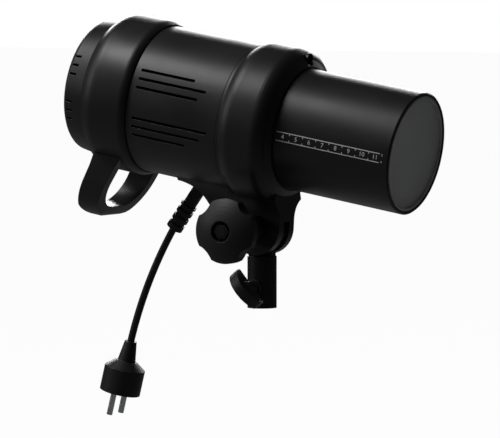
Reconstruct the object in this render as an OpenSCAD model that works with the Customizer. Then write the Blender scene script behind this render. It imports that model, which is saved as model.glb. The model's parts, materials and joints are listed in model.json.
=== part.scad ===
// Monolight strobe: a studio flash head that tilts on a clamp-on stand adapter.
// +Z is the stand axis, +X is the way the light points, the tilt knob is on the -Y side.
// The origin is the centre of the mouth of the stand socket.
// Head pieces are drawn in a head frame: x runs forward along the optical axis from the
// seam in front of the rear ring, y is across, z is up from the optical axis.

/* [Shells] */
// Radius of the middle housing
body_r = 61; // [55:0.5:70]
// Crest radius of the rear ring and of the front casing
ring_r = 65; // [60:0.5:75]
// Radius of the rear bezel at its seam
bezel_r = 57; // [50:0.5:60]
// Radius of the front tube that accessories clamp on
tube_r = 50; // [45:0.5:55]
// Wall thickness of the moulded shells
shell_wall = 3; // [2:0.5:4]
// Length of the middle housing
body_len = 84; // [70:1:110]
// Width of the rear ring
rear_ring_len = 45; // [35:1:55]
// Length of the rear bezel
bezel_len = 20; // [12:1:25]
// Station where the front casing ends on the tube
casing_end_x = 131; // [125:1:140]
// Station of the front end of the tube
tube_end_x = 236; // [200:1:260]

/* [Tilt] */
// Nose-down angle of the head as built
rest_tilt = 10; // [0:1:20]
// Height of the tilt axis above the mouth of the stand socket
tilt_axis_z = 66; // [55:1:80]
// Station of the tilt axis along the head
pivot_x = 109; // [95:1:120]
// Drop of the tilt axis below the optical axis
pivot_drop = 86; // [80:1:100]
// Radius of the lug round the tilt axis
lug_r = 22.5; // [18:0.5:28]
// Thickness of the lug over both ears
lug_w = 26; // [22:1:34]
// Width of the slot between the ears
fork_gap = 10.3; // [8:0.1:14]
// Radius of the knob over its lobes
knob_r = 26.5; // [20:0.5:32]
// Distance of the knob's domed tip from the stand axis
knob_reach = 73; // [60:1:85]

/* [Stand adapter] */
// Outer radius of the adapter barrel
adapter_r = 12; // [11:0.5:16]
// Radius of the stand socket
socket_r = 8.1; // [7.9:0.05:8.4]
// Depth of the stand socket
socket_depth = 36; // [25:1:38]
// Height of the clamp screw above the mouth
clamp_z = 17; // [14:1:26]
// Turn of the clamp wing about its screw as built
wing_turn = -40; // [-90:5:90]

/* [Handle and cord] */
// Width of the handle across the head
handle_w = 84; // [70:1:100]
// Thickness of the handle strap
strap_t = 9; // [6:0.5:12]
// Radius of the power cable
cable_r = 3; // [2.5:0.25:4]

/* [Output] */
// Piece to draw, or all of them

/* [Hidden] */

seam = 0.3;                              // gap at the parting lines between shells
seat_r = tube_r - 1.2;                   // radius of the tube where it sits in the casing
fit = 0.1;                               // radial play of a piece in its seat
body_bore = body_r - shell_wall;
fn_big = 96;
fn_small = 32;
black = [0.07, 0.07, 0.075];
charcoal = [0.16, 0.16, 0.17];
steel = [0.62, 0.63, 0.65];
brass = [0.75, 0.6, 0.3];

// Stations in the head frame
bezel_end_x = -rear_ring_len - bezel_len;
panel_x = bezel_end_x + 3.5;             // outer face of the control panel
panel_t = 2.5;
panel_back_x = panel_x + panel_t;
board_x = panel_x + 7;                   // rear face of the control board
board_t = 1.6;

// Control layout on the panel: [y, z]
display_z = 22;
display_w = 46;
display_h = 18;
dial_z = -4;
dial_r = 15;
button_y = 25;
button_z = [3, -11];
button_r = 4.3;
button_travel = 1;
jack_at = [-22, -28];
switch_at = [22, -28];
fuse_at = [3, -29];
usb_at = [-3, -41];
eye_z = 41;
rocker_depth = 1.5;                      // cross pin of the rocker below the panel's face

// Stand adapter and pivot
ear_w = (lug_w - fork_gap) / 2;
tongue_w = 8;
washer_t = 0.95;
stud_r = 4;
hub_r = 11;                              // hub of the tilt knob and the washer under it
collar_z = tilt_axis_z - lug_r - 1;      // top of the barrel, just clear of the lug
screw_r = 4;
screw_end = 29;                          // blind end of the clamp screw inside the wing
boss_reach = 15;                         // end of the threaded boss for the clamp screw

// Power inlet: where the connector leaves the keel, and the way it points
inlet_x = 48;
inlet_drop = 63.6;
inlet_lean = 26;                         // lean of the connector, rearward from straight down

// ---------- helpers ----------

// Points on an arc of the circle at c
function arc(c, r, a0, a1, n = 6) =
    [for (i = [0:n]) let (a = a0 + (a1 - a0) * i / n) c + r * [cos(a), sin(a)]];

// Puts a head-frame drawing in its place on the pivot
module in_head() {
    translate([0, 0, tilt_axis_z]) rotate([0, rest_tilt, 0])
        translate([-pivot_x, 0, pivot_drop]) children();
}

// Turned shape about the x axis from a [radius, station] profile
module lathe(fn = fn_big) {
    rotate([0, 90, 0]) rotate_extrude($fn = fn) children();
}

// Round bar along x
module rod_x(x0, x1, r, fn = fn_small) {
    translate([x0, 0, 0]) rotate([0, 90, 0]) cylinder(r = r, h = x1 - x0, $fn = fn);
}

// Round bar along y
module rod_y(y0, y1, r, fn = fn_small) {
    translate([0, y1, 0]) rotate([90, 0, 0]) cylinder(r = r, h = y1 - y0, $fn = fn);
}

// Ring along x
module ring_x(x0, x1, r_out, r_in, fn = fn_small) {
    difference() {
        rod_x(x0, x1, r_out, fn);
        rod_x(x0 - 1, x1 + 1, r_in, fn);
    }
}

// Block along x, centred on the x axis
module bar_x(x0, x1, w, h) {
    translate([x0, -w / 2, -h / 2]) cube([x1 - x0, w, h]);
}

// Shape drawn in side view [x, z], made w thick across y
module side_plate(w) {
    translate([0, w / 2, 0]) rotate([90, 0, 0]) linear_extrude(w) children();
}

// Shape drawn in front view [y, z], run along x
module front_run(x0, x1) {
    translate([x0, 0, 0]) rotate([90, 0, 90]) linear_extrude(x1 - x0) children();
}

// Rectangle with rounded corners, centred
module rounded_rect(w, h, r) {
    square([w - 2 * r, h], center = true);
    square([w, h - 2 * r], center = true);
    for (sy = [-1, 1], sz = [-1, 1])
        translate([sy * (w / 2 - r), sz * (h / 2 - r)]) circle(r, $fn = fn_small);
}

// ---------- rear bezel and control panel ----------

module rear_bezel() {
    round_r = 6;
    lip_r = 48.5;
    edge_r = bezel_r - 2;
    slot_w = 1.8;
    color(black) difference() {
        lathe() polygon(concat(
            [[lip_r, bezel_end_x], [lip_r, panel_x - 0.2], [51.2, panel_x - 0.2],
             [51.2, -rear_ring_len - seam], [bezel_r, -rear_ring_len - seam]],
            arc([edge_r - round_r, bezel_end_x + round_r], round_r, 0, -90)));
        // three vent slots above and three below the middle of each side
        for (side = [-1, 1], half = [-1, 1], a = [12:8:28])
            rotate([side * 90 + half * a, 0, 0])
                translate([bezel_end_x + 4.5, -slot_w / 2, 50]) cube([6, slot_w, 12]);
    }
}

module bezel_screws() {
    color(steel) for (a = [45:90:315]) rotate([a, 0, 0]) translate([0, 0, 53])
        difference() {
            rod_x(-44.9, -40.5, 1.2, 16);
            rod_x(-41.5, -40, 0.6, 6);
        }
}

module panel_holes() {
    translate([0, display_z]) rounded_rect(display_w + 0.4, display_h + 0.4, 2);
    translate([0, dial_z]) circle(3.6, $fn = fn_small);
    for (sy = [-1, 1], z = button_z)
        translate([sy * button_y, z]) circle(button_r + 0.2, $fn = fn_small);
    translate([0, eye_z]) circle(3.7, $fn = fn_small);
    translate(jack_at) circle(4.7, $fn = fn_small);
    translate(fuse_at) circle(5.5, $fn = fn_small);
    translate(usb_at) square([9.4, 4.4], center = true);
    translate(switch_at) square([13.4, 17.4], center = true);
}

module control_panel() {
    color(charcoal) front_run(panel_x, panel_back_x) difference() {
        circle(50.8, $fn = fn_big);
        panel_holes();
    }
}

module display_window() {
    color([0.05, 0.07, 0.09]) translate([0, 0, display_z]) {
        front_run(panel_x + 0.1, panel_back_x + 0.2) rounded_rect(display_w, display_h, 1.8);
        bar_x(panel_back_x + 0.1, panel_back_x + 1, display_w + 3, display_h + 3);
    }
}

module display_module() {
    color([0.3, 0.32, 0.3]) translate([0, 0, display_z])
        bar_x(panel_back_x + 1.2, board_x - 0.1, display_w, display_h - 1);
}

module control_board() {
    board_bottom = -18;
    color([0.05, 0.3, 0.15]) front_run(board_x, board_x + board_t) intersection() {
        circle(46, $fn = fn_big);
        translate([-50, board_bottom]) square([100, 80]);
    }
}

module button_switches() {
    color(steel) for (sy = [-1, 1], z = button_z)
        translate([0, sy * button_y, z]) bar_x(board_x - 1.3, board_x - 0.05, 6, 6);
}

module encoder_body() {
    color(steel) translate([0, 0, dial_z]) difference() {
        bar_x(panel_back_x + 0.4, board_x - 0.1, 12, 12);
        rod_x(panel_back_x, panel_back_x + 2.5, 3.05);
    }
}

module encoder_shaft() {
    color(steel) translate([0, 0, dial_z]) rod_x(panel_x - 7.5, panel_back_x + 2.2, 3);
}

module power_dial() {
    dial_rear_x = panel_x - 11.5;
    grip_count = 12;
    color(black) translate([0, 0, dial_z]) difference() {
        lathe(48) polygon(concat(
            [[0, dial_rear_x], [0, panel_x - 0.7], [dial_r, panel_x - 0.7]],
            arc([dial_r - 3, dial_rear_x + 2], 2, 0, -90, 4)));
        for (i = [0:grip_count - 1]) rotate([i * 360 / grip_count, 0, 0])
            translate([0, 0, dial_r + 1.2]) rod_x(dial_rear_x - 1, panel_x - 2, 2.4, 16);
        rod_x(panel_x - 7.7, panel_x, 3.05);
    }
}

// Push button: cap outside the panel, flange and stem behind it
module push_button(y, z) {
    color(charcoal) translate([0, y, z]) {
        rod_x(panel_x - 1.8, panel_back_x + 0.5, button_r);
        rod_x(panel_back_x + 0.4, panel_back_x + 1.4, button_r + 1.2);
        rod_x(panel_back_x + 1.3, board_x - 1.4 - button_travel, 2);
    }
}

module button_model() { push_button(-button_y, button_z[0]); }
module button_sync() { push_button(-button_y, button_z[1]); }
module button_ready() { push_button(button_y, button_z[0]); }
module button_test() { push_button(button_y, button_z[1]); }

// Photocell dome that fires the head from another flash
module slave_eye() {
    color([0.3, 0.02, 0.02]) translate([0, 0, eye_z]) {
        lathe(fn_small) polygon(concat([[0, panel_back_x + 0.1], [3.5, panel_back_x + 0.1]],
            arc([0, panel_x], 3.5, 0, -90, 5)));
        rod_x(panel_back_x + 0.1, panel_back_x + 1.5, 4.5);
    }
}

module sync_jack() {
    color(steel) translate([0, jack_at[0], jack_at[1]]) difference() {
        union() {
            rod_x(panel_x - 0.2, panel_back_x + 0.3, 4.5);
            rod_x(panel_x - 2.4, panel_x - 0.1, 7, 6);
            bar_x(panel_back_x + 0.2, panel_x + 28.5, 12, 12);
        }
        rod_x(panel_x - 3, panel_x + 26.5, 3.2);
    }
}

module usb_port() {
    color(steel) translate([0, usb_at[0], usb_at[1]]) {
        difference() {
            bar_x(panel_x + 0.2, panel_x + 10.5, 9, 4);
            bar_x(panel_x, panel_x + 8.5, 8, 3);
        }
        bar_x(panel_x + 2, panel_x + 9, 6, 0.8);
    }
}

module fuse_holder() {
    color(black) translate([0, fuse_at[0], fuse_at[1]]) difference() {
        union() {
            rod_x(panel_x + 0.1, panel_back_x + 0.3, 5.3);
            rod_x(panel_back_x + 0.2, panel_x + 25.5, 6);
        }
        rod_x(panel_x - 1, panel_back_x + 0.3, 4.2);
        rod_x(panel_x, panel_x + 23.5, 2.7);
    }
}

module fuse() {
    color([0.8, 0.85, 0.85]) translate([0, fuse_at[0], fuse_at[1]]) rod_x(panel_x + 2.7, panel_x + 22.7, 2.5);
}

module fuse_cap() {
    color(black) translate([0, fuse_at[0], fuse_at[1]]) difference() {
        union() {
            rod_x(panel_x - 3, panel_x - 0.2, 6.3);
            rod_x(panel_x - 0.3, panel_back_x - 0.2, 4.05);
        }
        translate([panel_x - 4, -4.5, -0.6]) cube([2, 9, 1.2]);
    }
}

module switch_frame() {
    color(black) translate([0, switch_at[0], switch_at[1]]) difference() {
        union() {
            bar_x(panel_x - 1.3, panel_x - 0.1, 14.6, 18.6);
            bar_x(panel_x - 0.2, panel_x + 16.5, 13, 17);
        }
        bar_x(panel_x - 2, panel_x + 6.5, 11, 15);
        translate([panel_x + rocker_depth, 0, 0]) rod_y(-6.3, 6.3, 1.25);
    }
}

// Rocker built in its off position, turned about its own cross pin
module power_rocker() {
    rocker_turn = 8;
    color([0.12, 0.12, 0.12])
        translate([panel_x + rocker_depth, switch_at[0], switch_at[1]]) {
            rotate([0, rocker_turn, 0]) side_plate(10.6) polygon([
                [-2.6, 0], [-3.6, 6.9], [0.5, 6.6], [3.5, 0], [0.5, -6.6], [-3.6, -6.9]]);
            rod_y(-6.2, 6.2, 1.2);
        }
}

// ---------- rear ring and handle ----------

module rear_ring() {
    lip_r = 51;
    front_r = 8;                         // rounding from the crest to the front seam
    front_a = 50;
    color(black) difference() {
        lathe() polygon(concat(
            [[lip_r, -rear_ring_len], [lip_r, -rear_ring_len + 3],
             [body_bore, -rear_ring_len + 5], [body_bore, -seam]],
            arc([ring_r - front_r, -seam - front_r * sin(front_a)], front_r, front_a, 0, 4),
            arc([ring_r - 16, -31], 16, 0, -52, 6),
            [[bezel_r + 0.8, -rear_ring_len]]));
        handle_screw_places() rod_y(-20, 20, 2.1, 16);
        for (a = [45:90:315]) rotate([a, 0, 0]) translate([0, 0, 53])
            rod_x(-46, -39, 1.3, 16);
    }
}

// Loop seen from the front: two legs joined by a rounded bottom
module handle_loop(w, bottom, corner) {
    translate([-w / 2, bottom + corner]) square([w, 60]);
    translate([-w / 2 + corner, bottom]) square([w - 2 * corner, corner + 1]);
    for (side = [-1, 1])
        translate([side * (w / 2 - corner), bottom + corner]) circle(corner, $fn = 64);
}

// Strap seen from the side: it leans back and narrows towards the bottom
module handle_side() {
    polygon(concat([[-8, -50], [-13, -60]],
        arc([-35, -99], 6, -20, -90, 3),
        arc([-39, -97], 8, -110, -180, 3),
        [[-36, -60], [-34, -50]]));
}

module handle() {
    bottom = -105;
    corner = 32;
    color(black) difference() {
        intersection() {
            side_plate(handle_w + 2) handle_side();
            front_run(-60, 10) difference() {
                handle_loop(handle_w, bottom, corner);
                handle_loop(handle_w - 2 * strap_t, bottom + strap_t, corner - strap_t);
            }
        }
        rod_x(-70, 20, ring_r + 0.05, fn_big);
        handle_screw_places() rod_y(-12, 20, 2.1, 16);
    }
}

// The screws run from inside the ring, through its wall, down the middle of each leg
module handle_screw_places() {
    leg_y = (handle_w - strap_t) / 2;
    for (side = [-1, 1]) translate([-21.5, side * leg_y, -52]) rotate([90, 0, 0]) children();
}

module handle_screws() {
    head_y = 11.6;                       // just clear of the curved inside of the ring
    color(steel) handle_screw_places() {
        rod_y(-11, head_y + 1, 2, 16);
        rod_y(head_y, head_y + 2.4, 3, 24);
    }
}

// ---------- middle housing, keel and lug ----------

// Side view of the keel: a curve off the belly, a straight run, and the round lug
module keel_side() {
    belly_r = 38;
    belly_at = [34, -body_r - belly_r];
    lug_at = [pivot_x, -pivot_drop];
    // angle at which the straight run leaves both arcs
    run = lug_at - belly_at;
    reach = belly_r + lug_r;
    slope = asin(reach / norm(run)) - atan2(run[1], run[0]);
    root_z = -30;                        // sunk well inside the round casing
    polygon(concat(
        [[belly_at[0], root_z]],
        arc(belly_at, belly_r, 90, 90 - slope, 8),
        arc(lug_at, lug_r, 270 - slope, 366, 16),
        [[casing_end_x - 3, -56], [casing_end_x - 8, root_z]]));
}

// Front view of the keel: the lug flares up into the round casing of radius r
module keel_front(casing_r, flare = 17) {
    half = lug_w / 2;
    r = casing_r - 0.5;                  // the flare sinks a little into the casing
    flare_y = half + flare;
    flare_z = -sqrt(pow(r + flare, 2) - pow(flare_y, 2));
    difference() {
        polygon([[0, 0], [flare_y, flare_z], [half, flare_z], [half, -140],
                 [-half, -140], [-half, flare_z], [-flare_y, flare_z]]);
        for (side = [-1, 1]) translate([side * flare_y, flare_z]) circle(flare, $fn = 64);
    }
}

// Solid keel between two stations
module keel(x0, x1, r) {
    intersection() {
        side_plate(120) keel_side();
        front_run(x0, x1) keel_front(r);
    }
}

// Vent slots on each side: [angle above the middle, length]
vents = [[26, 50], [19, 63], [12, 57], [-12, 70], [-19, 63], [-26, 49]];

module vent_slots() {
    slot_w = 2.3;
    slot_x = 6;
    for (side = [-1, 1], v = vents) rotate([side * (90 - v[0]), 0, 0])
        translate([slot_x, -slot_w / 2, body_bore - 3]) cube([v[1], slot_w, 10]);
}

module mid_housing() {
    color(charcoal) difference() {
        union() {
            rod_x(0, body_len, body_r, fn_big);
            keel(30, body_len, body_r);
        }
        rod_x(-1, body_len + 1, body_bore, fn_big);
        vent_slots();
        inlet_place() rod_x(-10, 40, 8, 48);
    }
}

// Frame of the power inlet: origin where the connector leaves the keel, +x into the keel
module inlet_place() {
    translate([inlet_x, 0, -inlet_drop]) rotate([0, -90 + inlet_lean, 0]) children();
}

module mains_inlet() {
    color(black) inlet_place() difference() {
        rod_x(1, 30, 7.8, 48);
        rod_x(0, 20, 5.8, 48);
    }
}

// ---------- front casing ----------

// Outside of the casing: rear shoulder, crest, front shoulder down to the tube
module casing_outside() {
    polygon(concat(
        [[0, body_len + seam], [body_r, body_len + seam]],
        arc([ring_r - 16, body_len + seam + 13], 16, -41, 0, 5),
        arc([ring_r - 11, casing_end_x - 14], 11, 0, 75, 6),
        [[tube_r + 1.5, casing_end_x], [0, casing_end_x]]));
}

// Hollow of the casing: wide round the fan, then a close hole for the tube
module casing_hollow() {
    polygon([[0, body_len - 1], [body_bore, body_len - 1], [body_bore, casing_end_x - 16],
        [seat_r + fit, casing_end_x - 9], [seat_r + fit, casing_end_x + 9], [0, casing_end_x + 9]]);
}

module front_casing() {
    bore_r = 4.2;
    color(black) difference() {
        union() {
            lathe() casing_outside();
            keel(body_len + seam, casing_end_x + 2, ring_r);
        }
        lathe() casing_hollow();
        // slot for the adapter's tongue
        translate([pivot_x, 0, -pivot_drop]) {
            rod_y(-fork_gap / 2, fork_gap / 2, lug_r - 1, 48);
            side_plate(fork_gap) polygon([[0, 0], [-60, -20], [-60, -60], [60, -60], [60, 26]]);
            rod_y(-40, 40, bore_r);
            rod_y(lug_w / 2 - 5, lug_w, 8.1, 6);
        }
        umbrella_axis() rod_x(casing_end_x - 37, casing_end_x + 5, 5.3);
    }
}

umbrella_z = 57;
umbrella_bore = 4.15;

module umbrella_axis() { translate([0, 0, umbrella_z]) children(); }

module umbrella_tube() {
    color(steel) umbrella_axis()
        ring_x(casing_end_x - 36.8, casing_end_x - 2.5, 5.2, umbrella_bore);
}

// ---------- front tube and lamp ----------

module front_tube() {
    inner_r = tube_r - 2.8;
    flange_r = tube_r + 5;
    color(black) difference() {
        lathe() polygon([
            [inner_r, casing_end_x - 20], [flange_r, casing_end_x - 20],
            [flange_r, casing_end_x - 17], [seat_r, casing_end_x - 17],
            [seat_r, casing_end_x + 1], [tube_r, casing_end_x + 1],
            [tube_r, tube_end_x - 1], [tube_r - 1, tube_end_x],
            [inner_r, tube_end_x], [inner_r, tube_end_x - 6], [inner_r - 2, tube_end_x - 6],
            [inner_r - 2, tube_end_x - 9], [inner_r, tube_end_x - 11]]);
        // notch in the flange that lets the umbrella tube pass
        umbrella_axis() rod_x(casing_end_x - 22, casing_end_x - 16, 6.9);
    }
}

module lamp_carrier() {
    color([0.85, 0.83, 0.78]) difference() {
        union() {
            rod_x(150, 154, 46.8, fn_big);
            rod_x(153, 170, 18, 48);
        }
        rod_x(160, 171, 6.2);
        for (side = [-1, 1]) translate([0, 0, side * 13]) rod_x(160, 171, 2.2);
    }
}

module modelling_lamp() {
    color([0.9, 0.9, 0.85]) {
        rod_x(161, 176, 6);
        lathe(fn_small) polygon(concat([[0, 175], [7, 175], [8.5, 180]],
            arc([0, 205], 8.5, 0, 90, 5)));
    }
}

// Ring-shaped flash tube round the modelling lamp, with its two legs
module flash_tube() {
    color([0.85, 0.9, 0.9]) {
        lathe(64) translate([19, 196]) circle(3.2, $fn = 24);
        for (side = [-1, 1]) translate([0, 0, side * 13]) rod_x(161, 172, 2);
        for (side = [-1, 1]) translate([171, 0, side * 13])
            rotate([0, atan2(-side * 6, 24), 0]) rod_x(-0.2, 22.5, 2);
    }
}

module reflector() {
    color([0.8, 0.8, 0.82]) lathe() polygon(concat(
        arc([20, 214], 26, -90, -10, 8), [[46.4, 222]],
        [[45.4, 222]], arc([20, 214], 25, -10, -90, 8)));
}

module glass_cover() {
    color([0.9, 0.92, 0.92, 0.6]) rod_x(tube_end_x - 5.8, tube_end_x - 2.3, tube_r - 3, fn_big);
}

module glass_retainer() {
    color(steel) ring_x(tube_end_x - 2.1, tube_end_x - 0.6, tube_r - 2.9, tube_r - 5, fn_big);
}

// ---------- inside the body ----------

module rod_places() {
    for (a = [0:90:270]) rotate([a + 45, 0, 0]) translate([0, 0, 52]) children();
}

module chassis_rods() {
    color(steel) rod_places() rod_x(-18, 94, 2);
}

module bulkhead(x0, hole_r) {
    color(steel) difference() {
        rod_x(x0, x0 + 1.5, body_bore - 0.4, fn_big);
        rod_places() rod_x(x0 - 1, x0 + 3, 2.1);
        rod_x(x0 - 1, x0 + 3, hole_r, 48);
    }
}

module rear_bulkhead() { bulkhead(3, 12); }
module front_bulkhead() { bulkhead(86, 30); }

module capacitors() {
    can_r = 17.5;
    color([0.1, 0.12, 0.2]) for (sy = [-1, 1], sz = [-1, 1])
        translate([0, sy * 20, sz * 20]) {
            rod_x(5, 80, can_r, 48);
            for (t = [-1, 1]) translate([0, t * 5, 0]) rod_x(79, 85, 2, 16);
        }
}

module main_board() {
    color([0.05, 0.3, 0.15]) difference() {
        rod_x(-16, -14.4, body_bore - 1, fn_big);
        rod_places() rod_x(-20, -10, 2.1);
    }
}

module choke_coil() {
    color(brass) translate([-7, 0, 18]) rotate([0, 90, 0]) rotate_extrude($fn = 48)
        translate([13, 0]) circle(6, $fn = 24);
}

module fan_frame() {
    depth = 12;
    size = 62;
    color(black) translate([94.5, 0, 0]) difference() {
        bar_x(0, depth, size, size);
        rod_x(1.8, depth + 1, 28.5, 64);
        for (a = [0:90:270]) rotate([a, 0, 0]) front_run(-1, 3) fan_window();
    }
}

// One of the four quarter openings in the back of the fan frame
module fan_window() {
    intersection() {
        difference() {
            circle(28, $fn = 64);
            circle(12, $fn = 48);
        }
        translate([2, 2]) square(40);
    }
}

module fan_rotor() {
    blades = 7;
    color([0.15, 0.15, 0.15]) translate([94.5, 0, 0]) {
        rod_x(2.3, 11, 11, 48);
        for (i = [0:blades - 1]) rotate([i * 360 / blades, 0, 0])
            translate([6.6, 0, 10]) rotate([0, 0, 35]) translate([-4, -0.6, 0]) cube([8, 1.2, 17]);
    }
}

// ---------- tilt knob ----------

// Frame of the tilt axis in the world
module at_pivot() { translate([0, 0, tilt_axis_z]) children(); }

module pivot_nut() {
    color(steel) in_head() translate([pivot_x, 0, -pivot_drop]) difference() {
        rod_y(lug_w / 2 - 4.9, lug_w / 2 + 2, 7.9, 6);
        rod_y(0, lug_w, stud_r + 0.05);
    }
}

module lock_washer() {
    color(steel) at_pivot() difference() {
        rod_y(-lug_w / 2 - 2, -lug_w / 2 - 0.05, hub_r, 48);
        rod_y(-30, 0, stud_r + 0.1);
    }
}

// Outline of the knob: four broad lobes parted by shallow scallops
module knob_outline() {
    scallop_r = 14;
    difference() {
        circle(knob_r, $fn = fn_big);
        for (a = [45:90:315]) rotate(a)
            translate([knob_r + scallop_r - 3.5, 0]) circle(scallop_r, $fn = 48);
    }
}

module tilt_knob() {
    dome_r = 46;
    head_back = knob_reach - 18;
    recess_r = 8.5;
    hub_end = lug_w / 2 + 2.1;
    color(charcoal) at_pivot() difference() {
        union() {
            intersection() {
                rotate([90, 0, 0]) translate([0, 0, head_back]) linear_extrude(20) knob_outline();
                rotate([90, 0, 0]) rotate_extrude($fn = fn_big) polygon(concat(
                    [[0, head_back], [knob_r - 2, head_back], [knob_r + 0.5, head_back + 3]],
                    arc([0, knob_reach - dome_r], dome_r, 54.6, 90, 8)));
            }
            rod_y(-head_back - 1, -hub_end, hub_r, 48);
        }
        rod_y(-knob_reach - 1, -knob_reach + 5.5, recess_r, 48);
        rod_y(-knob_reach, 0, stud_r + 0.05);
    }
}

module tilt_stud() {
    color(steel) at_pivot() rod_y(-knob_reach + 1.8, lug_w / 2 + 4, stud_r);
}

module knob_nut() {
    color(steel) at_pivot() difference() {
        rod_y(-knob_reach + 2.2, -knob_reach + 5.4, 6.5, 6);
        rod_y(-knob_reach, 0, stud_r + 0.05);
    }
}

// ---------- stand adapter ----------

module friction_washers() {
    color([0.2, 0.15, 0.12]) at_pivot() for (side = [-1, 1])
        translate([0, side * (tongue_w / 2 + washer_t / 2 + 0.07), 0]) difference() {
            rod_y(-washer_t / 2, washer_t / 2, 18, 64);
            rod_y(-2, 2, 5);
        }
}

module stand_adapter() {
    color(black) difference() {
        union() {
            cylinder(r = adapter_r, h = collar_z, $fn = 64);
            translate([0, 0, clamp_z]) rod_y(-boss_reach, 0, 6.5, 48);
            at_pivot() side_plate(tongue_w) {
                circle(lug_r - 2.5, $fn = 64);
                translate([-adapter_r + 1.5, -lug_r - 1.5]) square([2 * adapter_r - 3, lug_r]);
            }
        }
        translate([0, 0, -1]) cylinder(r = socket_r, h = socket_depth + 1, $fn = 64);
        translate([0, 0, clamp_z]) rod_y(-30, 0, screw_r + 0.1);
        at_pivot() rod_y(-30, 30, stud_r + 0.2);
    }
}

module clamp_pad() {
    color(brass) translate([0, 0, clamp_z]) rod_y(-socket_r - 2, -socket_r - 0.05, 3.6);
}

module clamp_screw() {
    color(steel) translate([0, 0, clamp_z]) rod_y(-screw_end, -socket_r - 2.1, screw_r);
}

// Thick half-round paddle with blunt ends on a short hub
module clamp_wing() {
    paddle_r = 19;
    paddle_w = 34;
    paddle_t = 8.5;
    paddle_y = 24;
    color(black) translate([0, 0, clamp_z]) rotate([0, wing_turn, 0]) difference() {
        union() {
            rod_y(-paddle_y - 8, -paddle_y + 3, 6.5, 48);
            translate([-paddle_t / 2, -paddle_y, 0]) rotate([0, 90, 0]) linear_extrude(paddle_t)
                intersection() {
                    translate([0, 3.5]) circle(paddle_r, $fn = 64);
                    translate([-paddle_w / 2, -20]) square([paddle_w, 20]);
                }
        }
        rod_y(-screw_end - 0.1, 0, screw_r + 0.05);
    }
}

// ---------- power cord ----------

shank_len = 20;
grip_len = 24;
grip_end_x = -shank_len - grip_len;      // end of the grip in the inlet frame
cable_x = grip_end_x - 3.6;              // where the cable starts to swing
bend_r = 360;
cord_lean = 31;                          // lean of the cable where it leaves the connector
plumb_lean = 14;                         // lean of its hanging end
neck_len = 14;
plug_len = 24;
pin_len = 19;

module cord_connector() {
    ribs = 3;
    rib_pitch = 7;
    color(black) in_head() inlet_place() difference() {
        union() {
            rod_x(-shank_len - 1, 19, 5.6);
            rod_x(grip_end_x, -shank_len, 7);
        }
        for (i = [0:ribs - 1])
            translate([grip_end_x + 5 + i * rib_pitch, 0, 0]) ring_x(0, 3.2, 8, 5.8);
        rod_x(grip_end_x - 1, grip_end_x + 3, cable_r + 0.6);
    }
}

// World [x, z] of a head-frame [x, z]
function head_to_world(p) = [
    (p[0] - pivot_x) * cos(rest_tilt) + (p[1] + pivot_drop) * sin(rest_tilt),
    (p[1] + pivot_drop) * cos(rest_tilt) - (p[0] - pivot_x) * sin(rest_tilt) + tilt_axis_z];

cord_start = head_to_world([inlet_x + cable_x * sin(inlet_lean),
                            -inlet_drop + cable_x * cos(inlet_lean)]);
bend_centre = cord_start + bend_r * [cos(cord_lean), -sin(cord_lean)];
bend_end = bend_centre + bend_r * [-cos(plumb_lean), sin(plumb_lean)];

// Frame of the hanging end: origin at the end of the bend, -z along the cable
module cord_end() {
    translate([bend_end[0], 0, bend_end[1]]) rotate([0, plumb_lean, 0]) children();
}

module power_cable() {
    color(black) {
        translate([cord_start[0], 0, cord_start[1]])
            rod_y(-cable_r - 0.2, cable_r + 0.2, cable_r + 0.3, 48);
        translate([bend_centre[0], 0, bend_centre[1]]) rotate([90, 0, 0])
            rotate([0, 0, 180 - cord_lean]) rotate_extrude(angle = cord_lean - plumb_lean, $fn = 180)
                translate([bend_r, 0]) circle(cable_r, $fn = 24);
    }
}

module mains_plug() {
    color(black) cord_end() difference() {
        union() {
            translate([0, 0, -neck_len]) cylinder(r1 = 8, r2 = 5, h = neck_len + 6, $fn = 32);
            translate([0, 0, -neck_len - plug_len]) cylinder(r = 17, h = plug_len - 3, $fn = 64);
            translate([0, 0, -neck_len - 3]) cylinder(r1 = 17, r2 = 9, h = 6, $fn = 64);
        }
        translate([0, 0, -1]) cylinder(r = cable_r + 0.15, h = 20, $fn = 24);
        plug_pin_places() translate([0, 0, -1]) cylinder(r = 2.45, h = 11, $fn = 24);
    }
}

module plug_pin_places() {
    for (side = [-1, 1]) translate([0, side * 9.5, -neck_len - plug_len]) children();
}

module plug_pins() {
    color(steel) cord_end() plug_pin_places()
        translate([0, 0, -pin_len]) cylinder(r = 2.4, h = pin_len + 9.5, $fn = 24);
}

// ---------- the pieces ----------

stand_adapter();
friction_washers();
clamp_pad();
clamp_screw();
clamp_wing();
in_head() rear_bezel();
in_head() bezel_screws();
in_head() control_panel();
in_head() display_window();
in_head() display_module();
in_head() control_board();
in_head() button_switches();
in_head() encoder_body();
in_head() encoder_shaft();
in_head() power_dial();
in_head() button_model();
in_head() button_sync();
in_head() button_ready();
in_head() button_test();
in_head() slave_eye();
in_head() sync_jack();
in_head() usb_port();
in_head() fuse_holder();
in_head() fuse();
in_head() fuse_cap();
in_head() switch_frame();
in_head() power_rocker();
in_head() rear_ring();
in_head() handle();
in_head() handle_screws();
in_head() mid_housing();
in_head() main_board();
in_head() choke_coil();
in_head() capacitors();
in_head() rear_bulkhead();
in_head() front_bulkhead();
in_head() chassis_rods();
in_head() fan_frame();
in_head() fan_rotor();
in_head() front_casing();
in_head() umbrella_tube();
in_head() front_tube();
in_head() lamp_carrier();
in_head() modelling_lamp();
in_head() flash_tube();
in_head() reflector();
in_head() glass_cover();
in_head() glass_retainer();
pivot_nut();
lock_washer();
tilt_knob();
tilt_stud();
knob_nut();
in_head() mains_inlet();
cord_connector();
power_cable();
mains_plug();
plug_pins();
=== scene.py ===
import json
import math
import random

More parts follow.
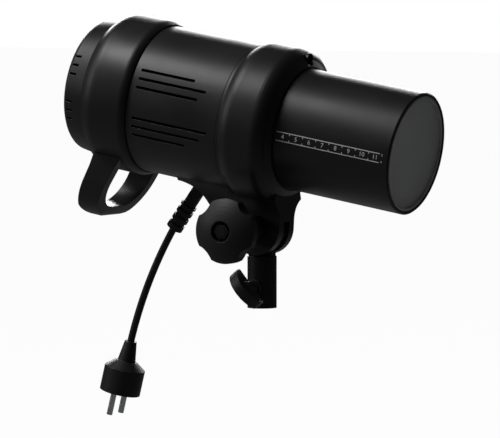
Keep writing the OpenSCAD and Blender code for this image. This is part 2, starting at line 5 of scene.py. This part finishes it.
import bpy
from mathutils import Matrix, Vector


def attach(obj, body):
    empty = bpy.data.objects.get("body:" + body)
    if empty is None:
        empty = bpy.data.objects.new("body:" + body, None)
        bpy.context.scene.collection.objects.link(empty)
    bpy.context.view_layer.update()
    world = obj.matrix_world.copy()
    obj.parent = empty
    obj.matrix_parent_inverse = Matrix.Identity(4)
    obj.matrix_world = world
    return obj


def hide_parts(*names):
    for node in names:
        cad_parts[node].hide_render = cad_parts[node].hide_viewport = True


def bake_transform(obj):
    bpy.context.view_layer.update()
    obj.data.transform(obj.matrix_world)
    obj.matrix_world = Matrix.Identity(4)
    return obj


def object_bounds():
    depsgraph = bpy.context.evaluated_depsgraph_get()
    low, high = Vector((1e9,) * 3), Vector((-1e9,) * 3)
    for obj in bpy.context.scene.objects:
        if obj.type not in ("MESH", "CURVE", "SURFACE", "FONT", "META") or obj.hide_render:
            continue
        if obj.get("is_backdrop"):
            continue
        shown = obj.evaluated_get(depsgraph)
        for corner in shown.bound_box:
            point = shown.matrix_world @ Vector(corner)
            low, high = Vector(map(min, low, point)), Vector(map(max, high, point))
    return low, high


MM = 0.001

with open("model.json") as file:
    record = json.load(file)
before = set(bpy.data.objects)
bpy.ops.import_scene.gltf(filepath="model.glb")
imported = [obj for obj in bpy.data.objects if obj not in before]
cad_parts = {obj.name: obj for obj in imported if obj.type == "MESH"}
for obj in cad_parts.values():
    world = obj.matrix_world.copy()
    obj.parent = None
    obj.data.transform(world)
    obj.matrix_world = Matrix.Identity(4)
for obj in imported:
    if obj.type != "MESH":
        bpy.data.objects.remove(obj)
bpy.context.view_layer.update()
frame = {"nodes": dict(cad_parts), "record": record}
record = frame["record"]
mounts = {mount["name"]: mount for mount in record["mounts"]}
joints = {joint["name"]: joint for joint in record["behaviour"]["joints"]}


# ---------- material building blocks ----------

def node_tree(name):
    """A new material holding only an output and a Principled shader."""
    mat = bpy.data.materials.new(name)
    mat.use_nodes = True
    tree = mat.node_tree
    for node in list(tree.nodes):
        tree.nodes.remove(node)
    output = tree.nodes.new("ShaderNodeOutputMaterial")
    shader = tree.nodes.new("ShaderNodeBsdfPrincipled")
    tree.links.new(shader.outputs["BSDF"], output.inputs["Surface"])
    return mat, tree, shader


def noise(tree, scale, detail=4.0, stretch=(1, 1, 1)):
    """Noise over the row frame, in features per metre."""
    coords = tree.nodes.new("ShaderNodeTexCoord")
    mapping = tree.nodes.new("ShaderNodeMapping")
    mapping.inputs["Scale"].default_value = stretch
    texture = tree.nodes.new("ShaderNodeTexNoise")
    texture.inputs["Scale"].default_value = scale
    texture.inputs["Detail"].default_value = detail
    tree.links.new(coords.outputs["Object"], mapping.inputs["Vector"])
    tree.links.new(mapping.outputs["Vector"], texture.inputs["Vector"])
    return texture.outputs["Fac"]


def spread(tree, value, low, high, start=0.3, end=0.7):
    """Remaps a value running from start to end onto low to high."""
    ramp = tree.nodes.new("ShaderNodeMapRange")
    ramp.inputs["From Min"].default_value = start
    ramp.inputs["From Max"].default_value = end
    ramp.inputs["To Min"].default_value = low
    ramp.inputs["To Max"].default_value = high
    tree.links.new(value, ramp.inputs["Value"])
    return ramp.outputs["Result"]


def mix_colours(tree, factor, first, second):
    """Blends two colours by a factor socket; either colour may be a socket."""
    first_input, second_input, colour_output = 6, 7, 2      # the colour sockets of a Mix node
    mix = tree.nodes.new("ShaderNodeMix")
    mix.data_type = "RGBA"
    tree.links.new(factor, mix.inputs["Factor"])
    for index, colour in ((first_input, first), (second_input, second)):
        if isinstance(colour, bpy.types.NodeSocket):
            tree.links.new(colour, mix.inputs[index])
        else:
            mix.inputs[index].default_value = (*colour, 1)
    return mix.outputs[colour_output]


def rounded_edges(tree, radius):
    """A normal that reads as softened edges."""
    bevel = tree.nodes.new("ShaderNodeBevel")
    bevel.samples = 4
    bevel.inputs["Radius"].default_value = radius
    return bevel.outputs["Normal"]


def edge_mask(tree, soft_normal):
    """1 near an edge and 0 on open surfaces, from how far the softened normal turns."""
    geometry = tree.nodes.new("ShaderNodeNewGeometry")
    dot = tree.nodes.new("ShaderNodeVectorMath")
    dot.operation = "DOT_PRODUCT"
    tree.links.new(geometry.outputs["Normal"], dot.inputs[0])
    tree.links.new(soft_normal, dot.inputs[1])
    edge_turned, edge_flat = 0.8, 0.97      # dot products on an edge and just beside it
    return spread(tree, dot.outputs["Value"], 1.0, 0.0, edge_turned, edge_flat)


def bump(tree, height, distance, normal=None):
    """A normal bumped by a height socket, distance metres high."""
    node = tree.nodes.new("ShaderNodeBump")
    node.inputs["Distance"].default_value = distance
    node.inputs["Strength"].default_value = 1.0
    tree.links.new(height, node.inputs["Height"])
    if normal is not None:
        tree.links.new(normal, node.inputs["Normal"])
    return node.outputs["Normal"]


def shade(tone, factor):
    """A colour made darker or paler by a factor."""
    return tuple(channel * factor for channel in tone)


def moulded(name, tone, rough, grain=1400, depth=0.02, wear=0.05, radius=0.5, shine=0.25):
    """Moulded or coated surface: fine grain, handling marks, edges rubbed paler.

    tone is the base colour, depth the grain height in mm, wear how far the rubbed edges go
    towards light grey, radius the edge softness in mm and shine the specular level."""
    blotch_scale, rub_scale = 22, 160
    rubbed_grey = 0.6
    mat, tree, shader = node_tree(name)
    shader.inputs["Specular IOR Level"].default_value = shine
    soft = rounded_edges(tree, radius * MM)
    blotch = noise(tree, blotch_scale, 6)
    base = mix_colours(tree, blotch, shade(tone, 0.85), shade(tone, 1.15))
    rubbed = tuple(channel + wear * (rubbed_grey - channel) for channel in tone)
    worn = tree.nodes.new("ShaderNodeMath")
    worn.operation = "MULTIPLY"
    tree.links.new(edge_mask(tree, soft), worn.inputs[0])
    tree.links.new(spread(tree, noise(tree, rub_scale), 0.1, 0.9), worn.inputs[1])
    tree.links.new(mix_colours(tree, worn.outputs[0], base, rubbed), shader.inputs["Base Color"])
    tree.links.new(spread(tree, blotch, rough - 0.05, rough + 0.07), shader.inputs["Roughness"])
    tree.links.new(bump(tree, noise(tree, grain, 2), depth * MM, soft), shader.inputs["Normal"])
    return mat


def metal(name, tone, rough, brush=(1, 1, 1), radius=0.2):
    """Machined metal: brushed streaks and smudged shine."""
    smudge_scale, streak_scale = 40, 900
    streak_depth = 0.01
    mat, tree, shader = node_tree(name)
    shader.inputs["Metallic"].default_value = 1.0
    soft = rounded_edges(tree, radius * MM)
    smudge = noise(tree, smudge_scale, 5)
    tree.links.new(mix_colours(tree, smudge, shade(tone, 0.8), tone), shader.inputs["Base Color"])
    tree.links.new(spread(tree, smudge, rough - 0.08, rough + 0.1), shader.inputs["Roughness"])
    streaks = noise(tree, streak_scale, 3, brush)
    tree.links.new(bump(tree, streaks, streak_depth * MM, soft), shader.inputs["Normal"])
    return mat


def glassy(name, tone, rough, transmission, frost=0.0):
    """Clear or frosted glass with faint waviness; frost is the extra grain height in mm."""
    smear_scale, wave_scale, frost_scale = 60, 90, 2500
    wave_depth = 0.02
    mat, tree, shader = node_tree(name)
    shader.inputs["Base Color"].default_value = (*tone, 1)
    shader.inputs["Transmission Weight"].default_value = transmission
    smear = noise(tree, smear_scale, 5)
    tree.links.new(spread(tree, smear, rough, rough + 0.06), shader.inputs["Roughness"])
    height = noise(tree, frost_scale if frost else wave_scale, 3)
    tree.links.new(bump(tree, height, (wave_depth + frost) * MM), shader.inputs["Normal"])
    return mat


def glowing(name, tone, strength):
    """A lit lamp or display segment, slightly uneven."""
    flicker_scale, smear_scale = 700, 300
    mat, tree, shader = node_tree(name)
    shader.inputs["Base Color"].default_value = (*tone, 1)
    shader.inputs["Emission Color"].default_value = (*tone, 1)
    flicker = spread(tree, noise(tree, flicker_scale, 2), strength * 0.8, strength)
    tree.links.new(flicker, shader.inputs["Emission Strength"])
    smear = spread(tree, noise(tree, smear_scale), 0.3, 0.5)
    tree.links.new(smear, shader.inputs["Roughness"])
    return mat


# ---------- the materials ----------

def make_slot_materials():
    """One material for each slot of the record."""
    return {
        "adapter_black": moulded("adapter_black", (0.006, 0.006, 0.0065), 0.38, 700, 0.01, 0.08),
        "friction_fibre": moulded("friction_fibre", (0.11, 0.075, 0.05), 0.85, 1800, 0.05),
        "brass": metal("brass", (0.78, 0.58, 0.26), 0.3),
        "bare_steel": metal("bare_steel", (0.6, 0.61, 0.63), 0.32),
        "black_steel": metal("black_steel", (0.035, 0.035, 0.037), 0.42),
        "shell_black": moulded("shell_black", (0.0075, 0.0075, 0.008), 0.42, radius=0.8),
        "shell_grey": moulded("shell_grey", (0.011, 0.011, 0.0118), 0.4, radius=0.5),
        "knob_black": moulded("knob_black", (0.0065, 0.0065, 0.007), 0.5, 1100, 0.02, 0.05, 1.0),
        "button_grey": moulded("button_grey", (0.12, 0.12, 0.125), 0.6),
        "board_green": moulded("board_green", (0.01, 0.1, 0.04), 0.35, shine=0.4),
        "display_glass": moulded("display_glass", (0.002, 0.0025, 0.004), 0.12, 300, 0.002,
                                 0.02, shine=0.5),
        "display_panel": moulded("display_panel", (0.2, 0.22, 0.2), 0.5),
        "eye_red": moulded("eye_red", (0.12, 0.004, 0.004), 0.15, 300, 0.003, 0.02, shine=0.5),
        "clear_glass": glassy("clear_glass", (0.95, 0.97, 0.97), 0.03, 0.9),
        "copper": metal("copper", (0.7, 0.33, 0.16), 0.35, (1, 1, 8)),
        "capacitor_blue": moulded("capacitor_blue", (0.012, 0.02, 0.07), 0.3),
        "lamp_ceramic": moulded("lamp_ceramic", (0.7, 0.68, 0.62), 0.7),
        "polished_reflector": metal("polished_reflector", (0.85, 0.85, 0.86), 0.15),
        "frosted_glass": glassy("frosted_glass", (0.93, 0.94, 0.94), 0.45, 0.75, 0.03),
        "cable_rubber": moulded("cable_rubber", (0.005, 0.005, 0.0052), 0.45, 900, 0.01),
    }


def make_mark_materials():
    """Finishes of the added pieces that no CAD node carries."""
    return {
        "print_grey": moulded("print_grey", (0.5, 0.5, 0.5), 0.55, 2200, 0.004, 0.02),
        "chip_black": moulded("chip_black", (0.015, 0.015, 0.016), 0.5, 1800, 0.01),
        "display_segments": glowing("display_segments", (0.75, 0.9, 1.0), 2.0),
        "ready_lamp": glowing("ready_lamp", (0.1, 0.8, 0.15), 1.2),
    }


def dress_nodes(materials):
    """Gives each CAD node the material of its slot."""
    for part in record["subparts"]:
        obj = frame["nodes"][part["node"]]
        obj.data.materials.clear()
        obj.data.materials.append(materials[part["material_slot"]])


# ---------- places ----------

# Stations in the head frame, in mm: x forward along the optical axis, y across, z up from it
TUBE_MOUNT_X = 183.5        # middle of the tube wall that accessories clamp on
TUBE_RADIUS = 50.0
PANEL_X = -61.5             # outer face of the control panel
DIAL_Z = -4.0
DIAL_FACE_X = -73.0
DISPLAY_Z = 22.0
BUTTONS = [(-25, 3), (-25, -11), (25, 3), (25, -11)]
CONTROL_BOARD_X = -52.9     # front face of the control board
MAIN_BOARD_X = -16.0        # rear face of the main board
PROUD = 0.04                # height of printed marks above their surface

tube_axis = Vector(mounts["accessory_tube"]["axis"])
tube_middle = Vector(mounts["accessory_tube"]["pos_m"])


def head_point(x, y, z):
    """Row frame position of a point given in mm in the head frame."""
    up = tube_axis.cross(Vector((0, 1, 0)))
    return tube_middle + tube_axis * (x - TUBE_MOUNT_X) * MM + Vector((0, y * MM, 0)) + up * z * MM


def on_tube(u, v):
    """Point u mm along the near side of the tube and v mm round it, upwards."""
    radius = TUBE_RADIUS + PROUD
    turn = v / TUBE_RADIUS
    return head_point(u, -radius * math.cos(turn), radius * math.sin(turn))


def on_panel(u, v):
    """Point u mm right and v mm up on the control panel, as seen from behind the head."""
    return head_point(PANEL_X - PROUD, -u, v)


def on_dial(u, v):
    """Point u mm right and v mm up on the face of the dial."""
    return head_point(DIAL_FACE_X - PROUD, -u, DIAL_Z + v)


# ---------- mesh building blocks ----------

class Sketch:
    """Collects vertices and faces of one piece."""

    def __init__(self):
        self.verts = []
        self.faces = []

    def add(self, verts, faces):
        first = len(self.verts)
        self.verts.extend(verts)
        self.faces.extend([[first + index for index in face] for face in faces])

    def piece(self, name, material, body=None, smooth=False):
        """Makes the mesh object and lets it ride a CAD body."""
        mesh = bpy.data.meshes.new(name)
        mesh.from_pydata([tuple(vert) for vert in self.verts], [], self.faces)
        mesh.update()
        obj = bpy.data.objects.new(name, mesh)
        bpy.context.scene.collection.objects.link(obj)
        mesh.materials.append(material)
        if smooth:
            mesh.shade_smooth()
        if body is not None:
            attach(obj, body)
        return obj


def add_strip(sketch, place, start, end, width, steps=8):
    """A flat printed line between two points of the surface that place() maps."""
    start, end = Vector(start), Vector(end)
    side = (end - start).normalized().orthogonal() * width / 2
    rows = [start.lerp(end, step / steps) for step in range(steps + 1)]
    verts = [place(*(row + sign * side)) for row in rows for sign in (-1, 1)]
    faces = [[2 * i, 2 * i + 1, 2 * i + 3, 2 * i + 2] for i in range(steps)]
    sketch.add(verts, faces)


def add_digits(sketch, place, text, middle, height):
    """Digits printed on the surface that place() maps."""
    curve = bpy.data.curves.new("digits", "FONT")
    curve.body = text
    curve.size = height
    curve.resolution_u = 3
    curve.align_x = "CENTER"
    curve.align_y = "CENTER"
    source = bpy.data.objects.new("digits", curve)
    bpy.context.scene.collection.objects.link(source)
    evaluated = source.evaluated_get(bpy.context.evaluated_depsgraph_get())
    mesh = bpy.data.meshes.new_from_object(evaluated)
    verts = [place(middle[0] + vert.co.x, middle[1] + vert.co.y) for vert in mesh.vertices]
    faces = [list(polygon.vertices) for polygon in mesh.polygons]
    sketch.add(verts, faces)
    bpy.data.objects.remove(source)
    bpy.data.curves.remove(curve)
    bpy.data.meshes.remove(mesh)


def add_dome(sketch, centre, out, radius, height, sides=16, rings=4):
    """A low dome standing on a surface whose outward direction is out."""
    across = out.orthogonal().normalized()
    other = out.cross(across)
    verts = []
    for ring in range(rings):
        lift = math.pi / 2 * ring / rings
        for side in range(sides):
            turn = 2 * math.pi * side / sides
            spoke = across * math.cos(turn) + other * math.sin(turn)
            verts.append(centre + spoke * radius * math.cos(lift) + out * height * math.sin(lift))
    verts.append(centre + out * height)
    top = len(verts) - 1
    faces = [[ring * sides + side, ring * sides + (side + 1) % sides,
              (ring + 1) * sides + (side + 1) % sides, (ring + 1) * sides + side]
             for ring in range(rings - 1) for side in range(sides)]
    faces += [[(rings - 1) * sides + side, (rings - 1) * sides + (side + 1) % sides, top]
              for side in range(sides)]
    sketch.add(verts, faces)


def add_block(sketch, x, y, z, width, depth, rise, chamfer=0.4):
    """A component on a board: a block with a chamfered top, rise mm off the board along x."""
    direction = 1 if rise > 0 else -1
    shoulder = rise - direction * chamfer
    levels = [(0, 0), (shoulder, 0), (rise, chamfer)]
    verts = []
    for lift, inset in levels:
        half_w, half_d = width / 2 - inset, depth / 2 - inset
        for sy, sz in ((-1, -1), (1, -1), (1, 1), (-1, 1)):
            verts.append(head_point(x + lift, y + sy * half_w, z + sz * half_d))
    faces = [[level * 4 + i, level * 4 + (i + 1) % 4, level * 4 + 4 + (i + 1) % 4, level * 4 + 4 + i]
             for level in range(2) for i in range(4)]
    faces += [[0, 1, 2, 3], [8, 9, 10, 11]]
    sketch.add(verts, faces)


# ---------- added pieces ----------

def add_zoom_scale(materials):
    """Setting scale printed along the near side of the front tube."""
    first_x, last_x = 134, 228
    half_gap = 3.6
    step = 12
    middle = -3
    first_number = 4
    digit_height = 5.2
    line_width, tick_width, tick_length = 0.7, 0.6, 1.8
    sketch = Sketch()
    for side in (-1, 1):
        edge = middle + side * half_gap
        add_strip(sketch, on_tube, (first_x, edge), (last_x, edge), line_width, 30)
    for count, x in enumerate(range(first_x + step // 2, last_x, step)):
        add_digits(sketch, on_tube, str(first_number + count), (x, middle), digit_height)
        for side in (-1, 1):
            tick_x, edge = x + step / 2, middle + side * half_gap
            tick_end = (tick_x, edge - side * tick_length)
            add_strip(sketch, on_tube, (tick_x, edge), tick_end, tick_width, 2)
    sketch.piece("zoom_scale", materials["print_grey"], "head")


def add_panel_marks(materials):
    """Ticks round the dial, and a ring round each button."""
    tick_in, tick_out, tick_width = 16.6, 18.4, 0.5
    ring_radius, ring_width = 5.4, 0.35
    count = 10
    first_turn, sweep = math.radians(225), math.radians(270)
    beside_buttons = 0.8                # ticks further out sideways would run into the buttons
    centre = Vector((0, DIAL_Z))
    sketch = Sketch()
    for number in range(count + 1):
        turn = first_turn - sweep * number / count
        spoke = Vector((math.cos(turn), math.sin(turn)))
        if abs(spoke.x) < beside_buttons:
            start, end = centre + spoke * tick_in, centre + spoke * tick_out
            add_strip(sketch, on_panel, start, end, tick_width, 2)
    for y, z in BUTTONS:
        add_ring_mark(sketch, (-y, z), ring_radius, ring_width)
    sketch.piece("panel_marks", materials["print_grey"], "head")


def add_ring_mark(sketch, middle, radius, width, sides=32):
    """A thin printed circle on the control panel."""
    verts = []
    for side in range(sides):
        turn = 2 * math.pi * side / sides
        for reach in (radius, radius + width):
            verts.append(on_panel(middle[0] + reach * math.cos(turn),
                                  middle[1] + reach * math.sin(turn)))
    faces = [[2 * i, 2 * i + 1, (2 * i + 3) % (2 * sides), (2 * i + 2) % (2 * sides)]
             for i in range(sides)]
    sketch.add(verts, faces)


def add_dial_pointer(materials):
    """The line on the dial face that shows its setting."""
    start, end, width = 6.5, 12, 1.2
    sketch = Sketch()
    add_strip(sketch, on_dial, (0, start), (0, end), width, 4)
    sketch.piece("dial_pointer", materials["print_grey"], "dial")


def add_display_reading(materials):
    """The lit power reading on the display window's face."""
    reading, digit_height, drop = "8.0", 13, 0.4
    sketch = Sketch()
    add_digits(sketch, on_panel, reading, (0, DISPLAY_Z - drop), digit_height)
    sketch.piece("display_reading", materials["display_segments"], "head")


def add_button_lamps(materials):
    """A small lamp above each button."""
    above, radius, height = 7, 0.9 * MM, 0.6 * MM
    sketch = Sketch()
    for y, z in BUTTONS:
        add_dome(sketch, head_point(PANEL_X, y, z + above), -tube_axis, radius, height)
    sketch.piece("button_lamps", materials["ready_lamp"], "head", smooth=True)


def add_board_parts(materials):
    """Chips and filters on the two circuit boards."""
    # Each board: its face, which way it faces, the places across and up it, and the ranges of
    # its components' width, depth and rise
    boards = [(CONTROL_BOARD_X, 1, range(-28, 29, 14), (2, 14, 26), (5, 10), (4, 8), (1.2, 4)),
              (MAIN_BOARD_X, -1, range(-24, 25, 12), (-20, -6, 8, 22), (5, 9), (5, 10), (2, 8))]
    rng = random.Random(4)
    sketch = Sketch()
    for face_x, facing, across, upwards, widths, depths, rises in boards:
        for y in across:
            for z in upwards:
                width, depth = rng.uniform(*widths), rng.uniform(*depths)
                rise = facing * rng.uniform(*rises)
                add_block(sketch, face_x, y, z, width, depth, rise)
    sketch.piece("board_parts", materials["chip_black"], "head")


def cord_path():
    """Centre line of the cord in the row frame, from inside the connector to the plug."""
    start_lean, end_lean = math.radians(31), math.radians(14)
    bend_radius = 360 * MM
    inside = 6.2 * MM                   # straight length inside the connector's mouth
    inside_steps, bend_steps = 4, 48
    start = Vector(joints["cord_swing"]["pos_m"])
    centre = start + bend_radius * Vector((math.cos(start_lean), 0, -math.sin(start_lean)))
    inwards = Vector((math.sin(start_lean), 0, math.cos(start_lean)))
    path = [start + inwards * inside * (1 - step / inside_steps) for step in range(inside_steps)]
    for step in range(bend_steps + 1):
        lean = start_lean + (end_lean - start_lean) * step / bend_steps
        path.append(centre + bend_radius * Vector((-math.cos(lean), 0, math.sin(lean))))
    return path


def add_round_rod(sketch, path, radius, sides=24):
    """A round rod along a path that lies in the plane y = 0."""
    across = Vector((0, 1, 0))
    verts = []
    for index, point in enumerate(path):
        along = path[min(index + 1, len(path) - 1)] - path[max(index - 1, 0)]
        other = along.normalized().cross(across)
        for side in range(sides):
            turn = 2 * math.pi * side / sides
            verts.append(point + radius * (across * math.cos(turn) + other * math.sin(turn)))
    faces = [[ring * sides + side, ring * sides + (side + 1) % sides,
              (ring + 1) * sides + (side + 1) % sides, (ring + 1) * sides + side]
             for ring in range(len(path) - 1) for side in range(sides)]
    sketch.add(verts, faces)


def add_power_cord(materials):
    """A flexible cord in place of the rigid one; it bends just outside the connector."""
    radius = 3.0 * MM
    path = cord_path()
    sketch = Sketch()
    add_round_rod(sketch, path, radius)
    cord = sketch.piece("flexible_cord", materials["cable_rubber"], smooth=True)
    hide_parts("power_cable")
    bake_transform(cord)


# ---------- camera and light ----------

VIEW_AZIMUTH = 28            # degrees
VIEW_ELEVATION = 3.3         # degrees
VIEW_DISTANCE = 3.75         # metres
LENS = 330                   # mm
FLOOR_DROP = 0.4             # metres from the lowest point of the object down to the floor
FLOOR_SIZE = 60
FLOOR_GLOW = 0.95            # what the floor adds for the camera only
WORLD_SEEN = 1.0
WORLD_LIGHTING = 0.07
# Each light: name, position, width and height in metres, power in watts
LIGHTS = [("key", (-1.1, -0.9, 2.0), (0.8, 0.8), 44),
          ("side", (-1.8, -1.0, 0.8), (0.4, 0.8), 9),
          ("rim", (-0.8, 1.7, 0.8), (1.8, 0.4), 38)]


def add_camera():
    """A long lens at the angle of the reference picture, aimed at the middle of the object."""
    low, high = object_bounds()
    target = (low + high) / 2
    azimuth, elevation = math.radians(VIEW_AZIMUTH), math.radians(VIEW_ELEVATION)
    back = Vector((math.sin(azimuth) * math.cos(elevation),
                   -math.cos(azimuth) * math.cos(elevation), math.sin(elevation)))
    data = bpy.data.cameras.new("camera")
    data.lens = LENS
    camera = bpy.data.objects.new("camera", data)
    camera.location = target + back * VIEW_DISTANCE
    camera.rotation_euler = (-back).to_track_quat("-Z", "Y").to_euler()
    bpy.context.scene.collection.objects.link(camera)
    bpy.context.scene.camera = camera


def add_area_light(name, location, target, size, power):
    """A soft rectangular light aimed at a point."""
    data = bpy.data.lights.new(name, "AREA")
    data.shape = "RECTANGLE"
    data.size, data.size_y = size
    data.energy = power
    light = bpy.data.objects.new(name, data)
    light.location = location
    aim = Vector(target) - Vector(location)
    light.rotation_euler = aim.to_track_quat("-Z", "Y").to_euler()
    light.visible_camera = False
    bpy.context.scene.collection.objects.link(light)


def for_camera(tree, others, camera):
    """A value that differs between what the camera sees and what other rays meet."""
    path = tree.nodes.new("ShaderNodeLightPath")
    return spread(tree, path.outputs["Is Camera Ray"], others, camera, 0, 1)


def add_floor(height):
    """A pale paper floor, lifted to the brightness of the backdrop where the camera sees it."""
    bpy.ops.mesh.primitive_plane_add(size=FLOOR_SIZE, location=(0, 0, height))
    floor = bpy.context.object
    floor.name = "floor"
    mat, tree, shader = node_tree("floor_paper")
    shader.inputs["Base Color"].default_value = (0.2, 0.2, 0.2, 1)
    shader.inputs["Emission Color"].default_value = (1, 1, 1, 1)
    tree.links.new(for_camera(tree, 0, FLOOR_GLOW), shader.inputs["Emission Strength"])
    tree.links.new(spread(tree, noise(tree, 3), 0.8, 0.95), shader.inputs["Roughness"])
    floor.data.materials.append(mat)
    floor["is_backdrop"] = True


def add_world():
    """White surroundings for the camera, much dimmer as a light on the object."""
    world = bpy.data.worlds.new("studio")
    world.use_nodes = True
    tree = world.node_tree
    background = tree.nodes["Background"]
    background.inputs["Color"].default_value = (1, 1, 1, 1)
    strength = for_camera(tree, WORLD_LIGHTING, WORLD_SEEN)
    tree.links.new(strength, background.inputs["Strength"])
    bpy.context.scene.world = world


def add_stage():
    """Floor, surroundings and soft lights from the upper left."""
    low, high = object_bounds()
    centre = (low + high) / 2
    add_floor(low.z - FLOOR_DROP)
    add_world()
    for name, location, size, power in LIGHTS:
        add_area_light(name, location, centre, size, power)
    bpy.context.scene.view_settings.view_transform = "Standard"


slot_materials = make_slot_materials()
mark_materials = make_mark_materials()
dress_nodes(slot_materials)
add_zoom_scale(mark_materials)
add_panel_marks(mark_materials)
add_dial_pointer(mark_materials)
add_display_reading(mark_materials)
add_button_lamps(mark_materials)
add_board_parts(mark_materials)
add_power_cord(slot_materials)
add_stage()
add_camera()
